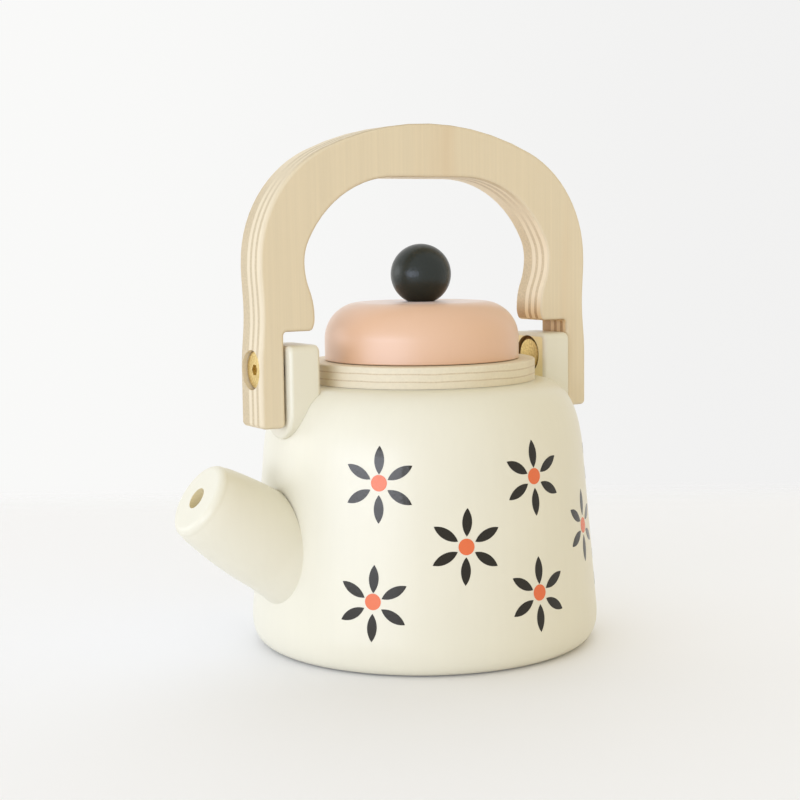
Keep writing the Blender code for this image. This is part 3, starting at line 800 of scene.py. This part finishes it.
def feed(tree, shader, effect, bump):
    """Leads an effect's colour, roughness and height into the shader."""
    tree.links.new(effect.outputs["Color"], shader.inputs["Base Color"])
    tree.links.new(effect.outputs["Roughness"], shader.inputs["Roughness"])
    sockets = {"Height": effect.outputs["Height"], "Distance": bump, "Strength": 1.0}
    tree.links.new(put(tree, "ShaderNodeBump", sockets).outputs[0], shader.inputs["Normal"])


def paint(material, *painted):
    """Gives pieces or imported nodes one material."""
    for piece in painted:
        piece.data.materials.clear()
        piece.data.materials.append(material)


print("an effect gives", ", ".join(EFFECT))

# %% [markdown]
# ## Paint
# The body, spout and ears are cream, the lid is peach and the knob nearly black. It is one kind of water
# paint, so it is one group: a film that is not quite even in colour, follows the wood's upright grain very
# faintly, and has the fine orange-peel skin that breaks up a highlight. Each colour sets how much of each
# it shows. The lid also has a satin varnish, the shader's coat, and a soft sheen seen at a slant.

# %% Paint film
PAINT_CLOUD = (35, 35, 35)
PAINT_GRAIN = (420, 420, 14)
PAINT_PEEL = (1500, 1500, 1500)
PAINT_UNEVENNESS = 0.05
PAINT_ROUGHNESS_CHANGE = 0.10
FINE_DETAIL = 3.0

inputs = {"Paint": "Color", "Roughness": "Float", "Streaks": "Float"}
paint_group, given = new_group("paint_film", inputs)
tree = paint_group
spot = put(tree, "ShaderNodeTexCoord").outputs["Object"]
cloud = noise(tree, spot, PAINT_CLOUD)
grain = noise(tree, spot, PAINT_GRAIN, FINE_DETAIL)
peel = noise(tree, spot, PAINT_PEEL)
streaks = sum_of(tree, "MULTIPLY", sum_of(tree, "SUBTRACT", grain, 0.5), given["Streaks"])
tone = sum_of(tree, "ADD", vary(tree, cloud, PAINT_UNEVENNESS), streaks)
colour = shade(tree, given["Paint"], tone)
rougher = vary(tree, cloud, PAINT_ROUGHNESS_CHANGE, 0.0)
roughness = sum_of(tree, "ADD", given["Roughness"], rougher)
relief = sum_of(tree, "ADD", peel, streaks)
put(tree, "NodeGroupOutput", {"Color": colour, "Roughness": roughness, "Height": relief})


def paint_material(name, colour, roughness, streaks, bump, **sockets):
    """A material of the paint film in one colour, with other sockets of the shader set by name."""
    material, tree, shader = new_material(name, **sockets)
    values = {"Paint": (*colour, 1), "Roughness": roughness, "Streaks": streaks}
    effect = put(tree, "ShaderNodeGroup", values, node_tree=paint_group)
    feed(tree, shader, effect, bump)
    return material


print("the paint film is a group of", len(paint_group.nodes), "nodes")

# %% Paint
CREAM = (0.765, 0.728, 0.592)
PEACH = (0.725, 0.455, 0.290)
DARK = (0.013, 0.018, 0.0145)
FINE_SKIN = 0.01 * MM
COARSE_SKIN = 0.08 * MM
VARNISH = {"Coat_Weight": 1.0, "Coat_Roughness": 0.42, "Coat_IOR": 1.75, "Specular_IOR_Level": 0.1,
           "Sheen_Weight": 0.25, "Sheen_Roughness": 0.35}

cream_paint = paint_material("cream_paint", CREAM, roughness=0.34, streaks=0.03, bump=FINE_SKIN)
peach_paint = paint_material("peach_paint", PEACH, roughness=0.42, streaks=0.02, bump=FINE_SKIN, **VARNISH)
dark_paint = paint_material(
    "dark_paint", DARK, roughness=0.30, streaks=0.0, bump=COARSE_SKIN, Specular_IOR_Level=0.42)
paint(cream_paint, body, spout, ear, other_ear)
paint(peach_paint, lid)
paint(dark_paint, knob)
print("painted", body.name, spout.name, ear.name, other_ear.name, lid.name, knob.name)

# %% [markdown]
# ## Bare wood, painted shade and painted light
# The spout's hole was drilled after painting, so its wood is bare. In the joint between spout and body, and
# in the ears' recesses, the wood is bare too, and its brown is made much darker as painted shade in the
# crack and the hollows. The ears' flat inner sides are a lighter, yellower cream, as painted warm light
# bounced from the lid. The faces that lie there get a material of their own, so each mesh stays in one.

# %% Bare wood, painted shade and painted light
BARE = (0.80, 0.70, 0.44)
# The joint colour is bare wood made much darker, as painted shade in the spout's crack and the ears'
# recesses.
JOINT_WOOD_AND_SHADE = (0.30, 0.18, 0.07)
# The next colour is a lighter, yellower cream, as painted warm light on the ears' inner sides.
BOUNCE_LIT_CREAM = (0.96, 0.84, 0.46)
WOOD_SKIN = 0.02 * MM
SADDLE_FACING = 0.75
SADDLE_REACH = 1.0 * MM

bare_wood = paint_material("bare_wood", BARE, roughness=0.60, streaks=0.10, bump=WOOD_SKIN)
joint_wood_and_shade = paint_material("joint_wood_and_shade", JOINT_WOOD_AND_SHADE, roughness=0.70, streaks=0.10, bump=WOOD_SKIN)
cream_with_bounce_light = paint_material("cream_with_bounce_light", BOUNCE_LIT_CREAM, roughness=0.45, streaks=0.10, bump=FINE_SKIN)
spout.data.materials.append(bare_wood)
spout.data.materials.append(joint_wood_and_shade)
# The spout's saddle faces take the dark joint colour, as painted shade in the crack.
for face in spout.data.polygons:
    from_seat = face.center - spout_seat
    off_axis = from_seat - from_seat.dot(spout_axis) * spout_axis
    off_wall = hypot(face.center.x, face.center.y) - side_radius(face.center.z)
    if off_axis.length < SPOUT_BORE_RADIUS:
        face.material_index = 1
    elif face.normal.x > SADDLE_FACING and off_wall < SADDLE_REACH:
        face.material_index = 2
# Each ear's recess takes the dark joint colour as painted shade, and its inner side the lighter cream as
# painted light.
for lug in (ear, other_ear):
    lug.data.materials.append(joint_wood_and_shade)
    lug.data.materials.append(cream_with_bounce_light)
    for face in lug.data.polygons:
        corners = [lug.data.vertices[i].co for i in face.vertices]
        if max(hypot(co.y, co.z - pivot) for co in corners) < EAR_RECESS_RADIUS + HAIR:
            face.material_index = 1
        elif max(abs(co.x) for co in corners) < ear_low.x + HAIR:
            face.material_index = 2
print("bare wood in", spout.name, "and thin paint on", ear.name, other_ear.name)

# %% [markdown]
# ## Ink
# The print lies on the paint as a smooth film, so it mirrors the window on the side that faces it and is
# deep and dark elsewhere. The same paint film does it with a smoother skin and a slightly warm reflection.

# %% Ink
INK = (0.006, 0.004, 0.001)
INK_REFLECTION = (1.0, 0.95, 0.85, 1)
DOT_INK = (0.76, 0.155, 0.045)

dark_ink = paint_material(
    "dark_ink", INK, roughness=0.20, streaks=0.0, bump=FINE_SKIN, Specular_Tint=INK_REFLECTION)
dot_ink = paint_material("orange_ink", DOT_INK, roughness=0.26, streaks=0.0, bump=FINE_SKIN)
paint(dark_ink, petals)
paint(dot_ink, dots)
print("inked", petals.name, dots.name)

# %% [markdown]
# ## Plywood
# Plywood is thin sheets glued crosswise. On a face one sees long grain. On an edge, each sheet shows its
# long grain or its end grain, which soaks up more light and looks brown. Which of the two it is depends on
# the way the edge faces, so on the arch's crown the stripes of its sides swap. So the shader works out, for
# every point, which sheet it is in, counted from the front, which way its grain runs, and how squarely the
# surface cuts it. Past the depth given for the back, every sheet is counted as crosswise, so the back of an
# edge is all in the end grain's darker colour.

# %% Plywood sheets
SHEET_RIPPLE = (70, 70, 0)
RIPPLE_CHANGE = 0.8 * MM
OUTER_SHEET = 0.3 * MM
SHEET_SOFTNESS = 0.07
END_GRAIN_RANGE = (0.15, 0.9)

inputs = {"Point": "Vector", "Normal": "Vector"}
for socket_name in ("Half", "Pair", "Share", "First", "Back", "Swap", "Raw", "Painted Light"):
    inputs[socket_name] = "Float"
for socket_name in ("Long", "Warm", "End", "Raw Long Shaded", "Raw End Shaded"):
    inputs[socket_name] = "Color"
plywood_group, given = new_group("plywood", inputs)
tree = plywood_group
point = given["Point"]
through = put(tree, "ShaderNodeSeparateXYZ", {0: point}).outputs["Z"]
ripple = vary(tree, noise(tree, point, SHEET_RIPPLE, 1.0), RIPPLE_CHANGE, 0.0)
wavy = sum_of(tree, "ADD", through, ripple)
deepest = sum_of(tree, "MULTIPLY_ADD", given["Half"], 2.0, -OUTER_SHEET)
depth = sum_of(tree, "MINIMUM", sum_of(tree, "SUBTRACT", given["Half"], wavy), deepest)
depth = sum_of(tree, "MAXIMUM", depth, OUTER_SHEET)

pairs = sum_of(tree, "DIVIDE", depth, given["Pair"])
from_middle = sum_of(tree, "SUBTRACT", pairs, given["First"])
wave = sum_of(tree, "MULTIPLY", sum_of(tree, "PINGPONG", from_middle, 0.5), 2.0)
soft_low = sum_of(tree, "SUBTRACT", given["Share"], SHEET_SOFTNESS)
soft_high = sum_of(tree, "ADD", given["Share"], SHEET_SOFTNESS)
past_front = sum_of(tree, "GREATER_THAN", depth, given["Back"])
crosswise = sum_of(tree, "MAXIMUM", ramp(tree, wave, soft_low, soft_high), past_front)

facing = put(tree, "ShaderNodeSeparateXYZ", {0: given["Normal"]}).outputs
across_x = sum_of(tree, "POWER", facing["X"], 2.0)
across_y = sum_of(tree, "POWER", facing["Y"], 2.0)
plain = sum_of(tree, "MULTIPLY", crosswise, sum_of(tree, "ADD", across_x, across_y))
swapped = mix_numbers(tree, crosswise, across_y, across_x)
end_share = mix_numbers(tree, given["Swap"], plain, swapped)
end_grain = ramp(tree, end_share, *END_GRAIN_RANGE)
print("the sheets take", len(plywood_group.nodes), "nodes")

# %% Plywood colours
GRAIN_ALONG = (1400, 16, 1400)
GRAIN_ACROSS = (16, 1400, 1400)
GRAIN_CHANGE = 0.14
FIGURE = (60, 7, 60)
FIGURE_RANGE = (0.56, 0.90)
PORES = (1500, 1500, 1500)
PORE_CHANGE = 0.4
PLYWOOD_ROUGHNESS = 0.52
PLYWOOD_ROUGHNESS_CHANGE = 0.16

grain_along = noise(tree, point, GRAIN_ALONG, FINE_DETAIL)
grain_across = noise(tree, point, GRAIN_ACROSS, FINE_DETAIL)
grain = mix_numbers(tree, plain, grain_along, grain_across)
figure = ramp(tree, noise(tree, point, FIGURE), *FIGURE_RANGE)
pores = noise(tree, point, PORES, 1.0)

long_colour = mix(tree, figure, given["Long"], given["Warm"])
# Where a material asks for it, the saw-cut colours take over, partly as painted shade.
long_colour = mix(tree, given["Raw"], long_colour, given["Raw Long Shaded"])
long_colour = shade(tree, long_colour, vary(tree, grain, GRAIN_CHANGE))
end_colour = mix(tree, given["Raw"], given["End"], given["Raw End Shaded"])
end_colour = shade(tree, end_colour, vary(tree, pores, PORE_CHANGE))
# The last factor makes the colour paler where a material asks for it, as painted light.
colour = shade(tree, mix(tree, end_grain, long_colour, end_colour), given["Painted Light"])
roughness = vary(tree, grain, PLYWOOD_ROUGHNESS_CHANGE, PLYWOOD_ROUGHNESS)
relief = sum_of(tree, "ADD", grain, sum_of(tree, "MULTIPLY", pores, end_grain))
put(tree, "NodeGroupOutput", {"Color": colour, "Roughness": roughness, "Height": relief})


def plywood_material(name, turned, lowered, thickness, look):
    """Plywood whose board lies in the turned XY plane, with its middle so far up."""
    material, tree, shader = new_material(name)
    spot = put(tree, "ShaderNodeTexCoord").outputs
    flat = {"Vector": spot["Object"], "Rotation": turned, "Location": (0, 0, -lowered)}
    facing = {"Vector": spot["Normal"], "Rotation": turned}
    point = put(tree, "ShaderNodeMapping", flat).outputs[0]
    normal = put(tree, "ShaderNodeMapping", facing, vector_type="VECTOR").outputs[0]
    values = {"Point": point, "Normal": normal, "Half": thickness / 2, **look}
    effect = put(tree, "ShaderNodeGroup", values, node_tree=plywood_group)
    feed(tree, shader, effect, WOOD_SKIN)
    return material, tree, effect


print("plywood is a group of", len(plywood_group.nodes), "nodes")

# %% [markdown]
# ## Plywood of the ring and the lid's disc
# The ring is a fine board of three thick sheets with two thin ones between, and the lid's disc was sawn out
# of it. Its thin sheets show as brown lines all round, so nothing swaps.

# %% Ring and disc
RING_LONG = (0.73, 0.65, 0.48, 1)
RING_WARM = (0.67, 0.565, 0.385, 1)
RING_END = (0.60, 0.49, 0.33, 1)
RING_THIN_SHEET = 0.4 * MM

ring_thickness = ring_high.z - ring_low.z
ring_sheet = (ring_thickness - 2 * RING_THIN_SHEET) / 3
ring_pair = ring_sheet + RING_THIN_SHEET
ring_share = ring_sheet / ring_pair
ring_look = {"Pair": ring_pair, "Share": ring_share, "First": ring_share / 2, "Back": ring_thickness}
ring_look |= {"Swap": 0.0, "Painted Light": 1.0, "Long": RING_LONG, "Warm": RING_WARM, "End": RING_END}
ring_middle = (ring_low.z + ring_high.z) / 2
disc_middle = (disc_low.z + disc_high.z) / 2
ring_plywood = plywood_material("ring_plywood", (0, 0, 0), ring_middle, ring_thickness, ring_look)[0]
disc_plywood = plywood_material("disc_plywood", (0, 0, 0), disc_middle, ring_thickness, ring_look)[0]
paint(ring_plywood, ring)
paint(disc_plywood, disc)
print("plywood on", ring.name, disc.name, "in sheets of", round(ring_sheet / MM, 2), "mm")

# %% [markdown]
# ## Plywood of the handle
# The handle is a coarser board that stands upright, so its plywood is turned. The legs' inner sides and the
# toes of the cheeks are left as the saw cut them, with darker end grain, and their darker, warmer colours
# under the cheeks are also painted shade. The rest of the inner edge is made paler, as painted light. An
# edge faces inwards where its normal points back to the arch's middle.

# %% Handle's plywood
HANDLE_LONG = (0.725, 0.617, 0.432, 1)
HANDLE_WARM = (0.67, 0.505, 0.315, 1)
HANDLE_END = (0.55, 0.44, 0.272, 1)
# The saw-cut colours below the cheeks are partly the wood's own and partly painted shade.
HANDLE_RAW_SHADED_LONG = (0.82, 0.615, 0.34, 1)
HANDLE_RAW_SHADED_END = (0.50, 0.305, 0.13, 1)
HANDLE_PAIR = 3.5 * MM
HANDLE_SHARE = 0.56
HANDLE_FIRST = 1.3 * MM
HANDLE_BACK = 9.6 * MM
RAW_SHADED_REACH = 9.0 * MM
# How much paler the inner edge is made, as painted light.
INNER_PAINTED_LIGHT = 0.12
EDGE_FACING = 0.5

upright = (-QUARTER_TURN, 0, 0)
handle_look = {"Pair": HANDLE_PAIR, "Share": HANDLE_SHARE, "First": HANDLE_FIRST / HANDLE_PAIR}
handle_look |= {"Back": HANDLE_BACK, "Swap": 1.0, "Long": HANDLE_LONG, "Warm": HANDLE_WARM}
handle_look |= {"End": HANDLE_END, "Raw Long Shaded": HANDLE_RAW_SHADED_LONG, "Raw End Shaded": HANDLE_RAW_SHADED_END}
handle_plywood, tree, effect = plywood_material("handle_plywood", upright, 0, handle_thickness, handle_look)
place = put(tree, "ShaderNodeTexCoord").outputs
spot = put(tree, "ShaderNodeSeparateXYZ", {0: place["Object"]}).outputs
facing = put(tree, "ShaderNodeSeparateXYZ", {0: place["Normal"]}).outputs
on_edge = sum_of(tree, "LESS_THAN", sum_of(tree, "ABSOLUTE", facing["Y"]), EDGE_FACING)

below_cheek = ramp(tree, spot["Z"], ledge, ledge + RAW_SHADED_REACH, 1.0, 0.0)
between_legs = sum_of(tree, "LESS_THAN", sum_of(tree, "ABSOLUTE", spot["X"]), leg_inner + HAIR)
# The inner sides below the cheeks take the saw-cut colours, partly as painted shade.
raw_shaded = sum_of(tree, "MULTIPLY", sum_of(tree, "MULTIPLY", below_cheek, between_legs), on_edge)
tree.links.new(raw_shaded, effect.inputs["Raw"])

from_spring = vector_sum(tree, "ADD", place["Object"], (0, 0, -spring))
outwards = vector_sum(tree, "DOT_PRODUCT", from_spring, place["Normal"])
inwards = sum_of(tree, "LESS_THAN", outwards, 0.0)
# The inner edge above them is lightened, as painted light.
lit_inner_edge = sum_of(tree, "MULTIPLY", sum_of(tree, "SUBTRACT", inwards, below_cheek), on_edge)
lit_inner_edge = sum_of(tree, "MAXIMUM", lit_inner_edge, 0.0)
inner_edge_light = sum_of(tree, "MULTIPLY_ADD", lit_inner_edge, INNER_PAINTED_LIGHT, 1.0)
tree.links.new(inner_edge_light, effect.inputs["Painted Light"])
paint(handle_plywood, handle)
print("plywood on", handle.name, "in pairs of sheets of", round(HANDLE_PAIR / MM, 2), "mm")

# %% [markdown]
# ## Brass, nylon and dowels
# The pivots' brass is turned metal with a mottled tarnish. Its rings are too fine to model, so they are a
# bump about the pivot's axis. The washers are dark nylon. The dowels are hidden and only need to be wood.

# %% Small finishes
BRASS = (0.74, 0.57, 0.245, 1)
TARNISH = (0.56, 0.41, 0.155, 1)
TARNISH_MOTTLE = (1600, 1600, 1600)
TARNISH_RANGE = (0.35, 0.65)
TURNING_STEP = 0.25 * MM
TURNING_DEPTH = 0.004 * MM
NYLON = (0.10, 0.065, 0.04, 1)
DOWEL = (0.62, 0.46, 0.28, 1)

brass, tree, shader = new_material("turned_brass", Metallic=1.0, Roughness=0.38)
spot = put(tree, "ShaderNodeTexCoord").outputs["Object"]
tarnish = ramp(tree, noise(tree, spot, TARNISH_MOTTLE), *TARNISH_RANGE)
tree.links.new(mix(tree, tarnish, BRASS, TARNISH), shader.inputs["Base Color"])
from_axis = vector_sum(tree, "ADD", spot, (0, 0, -pivot))
radius = vector_sum(tree, "LENGTH", vector_sum(tree, "MULTIPLY", from_axis, (0, 1, 1)))
rings = sum_of(tree, "SINE", sum_of(tree, "MULTIPLY", radius, tau / TURNING_STEP))
bump = put(tree, "ShaderNodeBump", {"Height": rings, "Distance": TURNING_DEPTH, "Strength": 1.0})
tree.links.new(bump.outputs[0], shader.inputs["Normal"])

nylon = new_material("dark_nylon", Base_Color=NYLON, Roughness=0.55)[0]
dowel_wood = new_material("dowel_wood", Base_Color=DOWEL, Roughness=0.65)[0]
for piece in pivot_pieces:
    paint(nylon if piece.name.startswith("thin_washer") else brass, piece)
dowels = [node for name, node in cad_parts.items() if "dowel" in name]
paint(dowel_wood, *dowels)
print("brass and nylon on", len(pivot_pieces), "pieces, wood on", len(dowels), "dowels")

# %% [markdown]
# ## The floor
# The photograph has a pale table in front of a white wall. A wall would stand in the way of every other
# view, so there is only a floor, and it is see-through from the line where the wall would start. What the
# camera sees there and above it is the world, in the wall's colour.

# %% Floor
FLOOR_SIZE = 6.0
FLOOR_COLOUR = (0.89, 0.892, 0.918, 1)
FLOOR_REFLECTION = 0.02
WALL_LINE = 0.274
WALL_SOFTNESS = 0.04

to_the_back = (sin(CAMERA_YAW), cos(CAMERA_YAW), 0)
bpy.ops.mesh.primitive_plane_add(size=FLOOR_SIZE)
floor = bpy.context.object
floor.name = "floor"
material, tree, shader = new_material(
    "table_top", Base_Color=FLOOR_COLOUR, Roughness=0.6, Specular_IOR_Level=FLOOR_REFLECTION)
spot = put(tree, "ShaderNodeTexCoord").outputs["Object"]
behind = vector_sum(tree, "DOT_PRODUCT", spot, to_the_back)
beyond = ramp(tree, behind, WALL_LINE - WALL_SOFTNESS, WALL_LINE + WALL_SOFTNESS)
see_through = put(tree, "ShaderNodeBsdfTransparent")
surface = put(tree, "ShaderNodeMixShader", {0: beyond, 1: shader.outputs[0], 2: see_through.outputs[0]})
tree.links.new(surface.outputs[0], tree.nodes["Material Output"].inputs["Surface"])
paint(material, floor)
print("the floor is", FLOOR_SIZE, "m wide and fades out", WALL_LINE, "m behind the kettle")

# %% [markdown]
# ## The room
# To the camera, and in reflections, the world is the plain wall, a little brighter on the window's side. To
# everything else it is a room of soft light: each side has its own colour, and a direction takes its light
# from the three sides it faces, by the squares of its parts, which add up to one. A picture of a room would
# do the same, but plain colours can be set one by one.

# %% Room
WALL_LEFT = (0.950, 0.950, 0.940, 1)
WALL_RIGHT = (0.885, 0.883, 0.878, 1)
WALL_SPREAD = 0.25
ROOM_BEHIND = (1.94, 2.03, 2.25, 1)
ROOM_IN_FRONT = (1.15, 1.15, 1.15, 1)
ROOM_LEFT = (0.60, 0.63, 0.70, 1)
ROOM_RIGHT = (0.66, 0.45, 0.04, 1)
ROOM_BELOW = ROOM_IN_FRONT
ROOM_ABOVE = (0.88, 0.87, 0.78, 1)

to_the_right = (cos(CAMERA_YAW), -sin(CAMERA_YAW), 0)
upwards = (0, 0, 1)
walls = ((to_the_back, ROOM_IN_FRONT, ROOM_BEHIND), (to_the_right, ROOM_LEFT, ROOM_RIGHT),
         (upwards, ROOM_BELOW, ROOM_ABOVE))
world = bpy.context.scene.world or bpy.data.worlds.new("World")
bpy.context.scene.world = world
world.use_nodes = True
tree = world.node_tree
tree.nodes.clear()
direction = put(tree, "ShaderNodeTexCoord").outputs["Generated"]
room = (0, 0, 0, 1)
for axis, against, with_it in walls:
    along = vector_sum(tree, "DOT_PRODUCT", direction, axis)
    wall = mix(tree, sum_of(tree, "GREATER_THAN", along, 0.0), against, with_it)
    room = mix(tree, 1.0, room, shade(tree, wall, sum_of(tree, "POWER", along, 2.0)), "ADD")

turned_right = vector_sum(tree, "DOT_PRODUCT", direction, to_the_right)
plain_wall = mix(tree, ramp(tree, turned_right, -WALL_SPREAD, WALL_SPREAD), WALL_LEFT, WALL_RIGHT)
ray = put(tree, "ShaderNodeLightPath").outputs
seen = sum_of(tree, "MAXIMUM", ray["Is Camera Ray"], ray["Is Glossy Ray"])
seen = sum_of(tree, "MAXIMUM", seen, ray["Is Transmission Ray"])
colour = mix(tree, seen, room, plain_wall)
surroundings = put(tree, "ShaderNodeBackground", {"Color": colour, "Strength": 1.0})
put(tree, "ShaderNodeOutputWorld", {"Surface": surroundings.outputs[0]})
print("the world has", len(tree.nodes), "nodes, with", 2 * len(walls), "sides to the room")

# %% [markdown]
# ## The windows
# The daylight comes from the left, where the spout is. Two big soft lights stand for windows: a wide, low
# one a little to the front makes the long highlights, and a weaker one farther back keeps the handle's left
# edge bright. They hang two metres off, so the light hardly falls off across the kettle.

# %% Windows
WINDOW_DISTANCE = 2.0
FRONT_WINDOW = {"name": "front_window", "azimuth": radians(-160), "elevation": radians(3.7),
                "width": 2.0, "height": 0.44, "power": 17.8, "colour": (0.70, 0.78, 1.0)}
BACK_WINDOW = {"name": "back_window", "azimuth": radians(138), "elevation": radians(8),
               "width": 1.2, "height": 0.8, "power": 4.9, "colour": (0.92, 0.96, 1.0)}

for look in (FRONT_WINDOW, BACK_WINDOW):
    reach = WINDOW_DISTANCE * cos(look["elevation"])
    place = Vector((reach * cos(look["azimuth"]), reach * sin(look["azimuth"]), 0))
    place.z = WINDOW_DISTANCE * sin(look["elevation"]) + body_top
    bpy.ops.object.light_add(type="AREA", location=place)
    window = bpy.context.object
    window.name = look["name"]
    window.data.shape = "RECTANGLE"
    window.data.size = look["width"]
    window.data.size_y = look["height"]
    window.data.energy = look["power"]
    window.data.color = look["colour"]
    window.rotation_euler = (Vector((0, 0, body_top)) - place).to_track_quat("-Z", "Y").to_euler()
    print(window.name, "is", look["width"], "m wide and gives", look["power"], "W")
bpy.context.scene.view_settings.view_transform = "Standard"
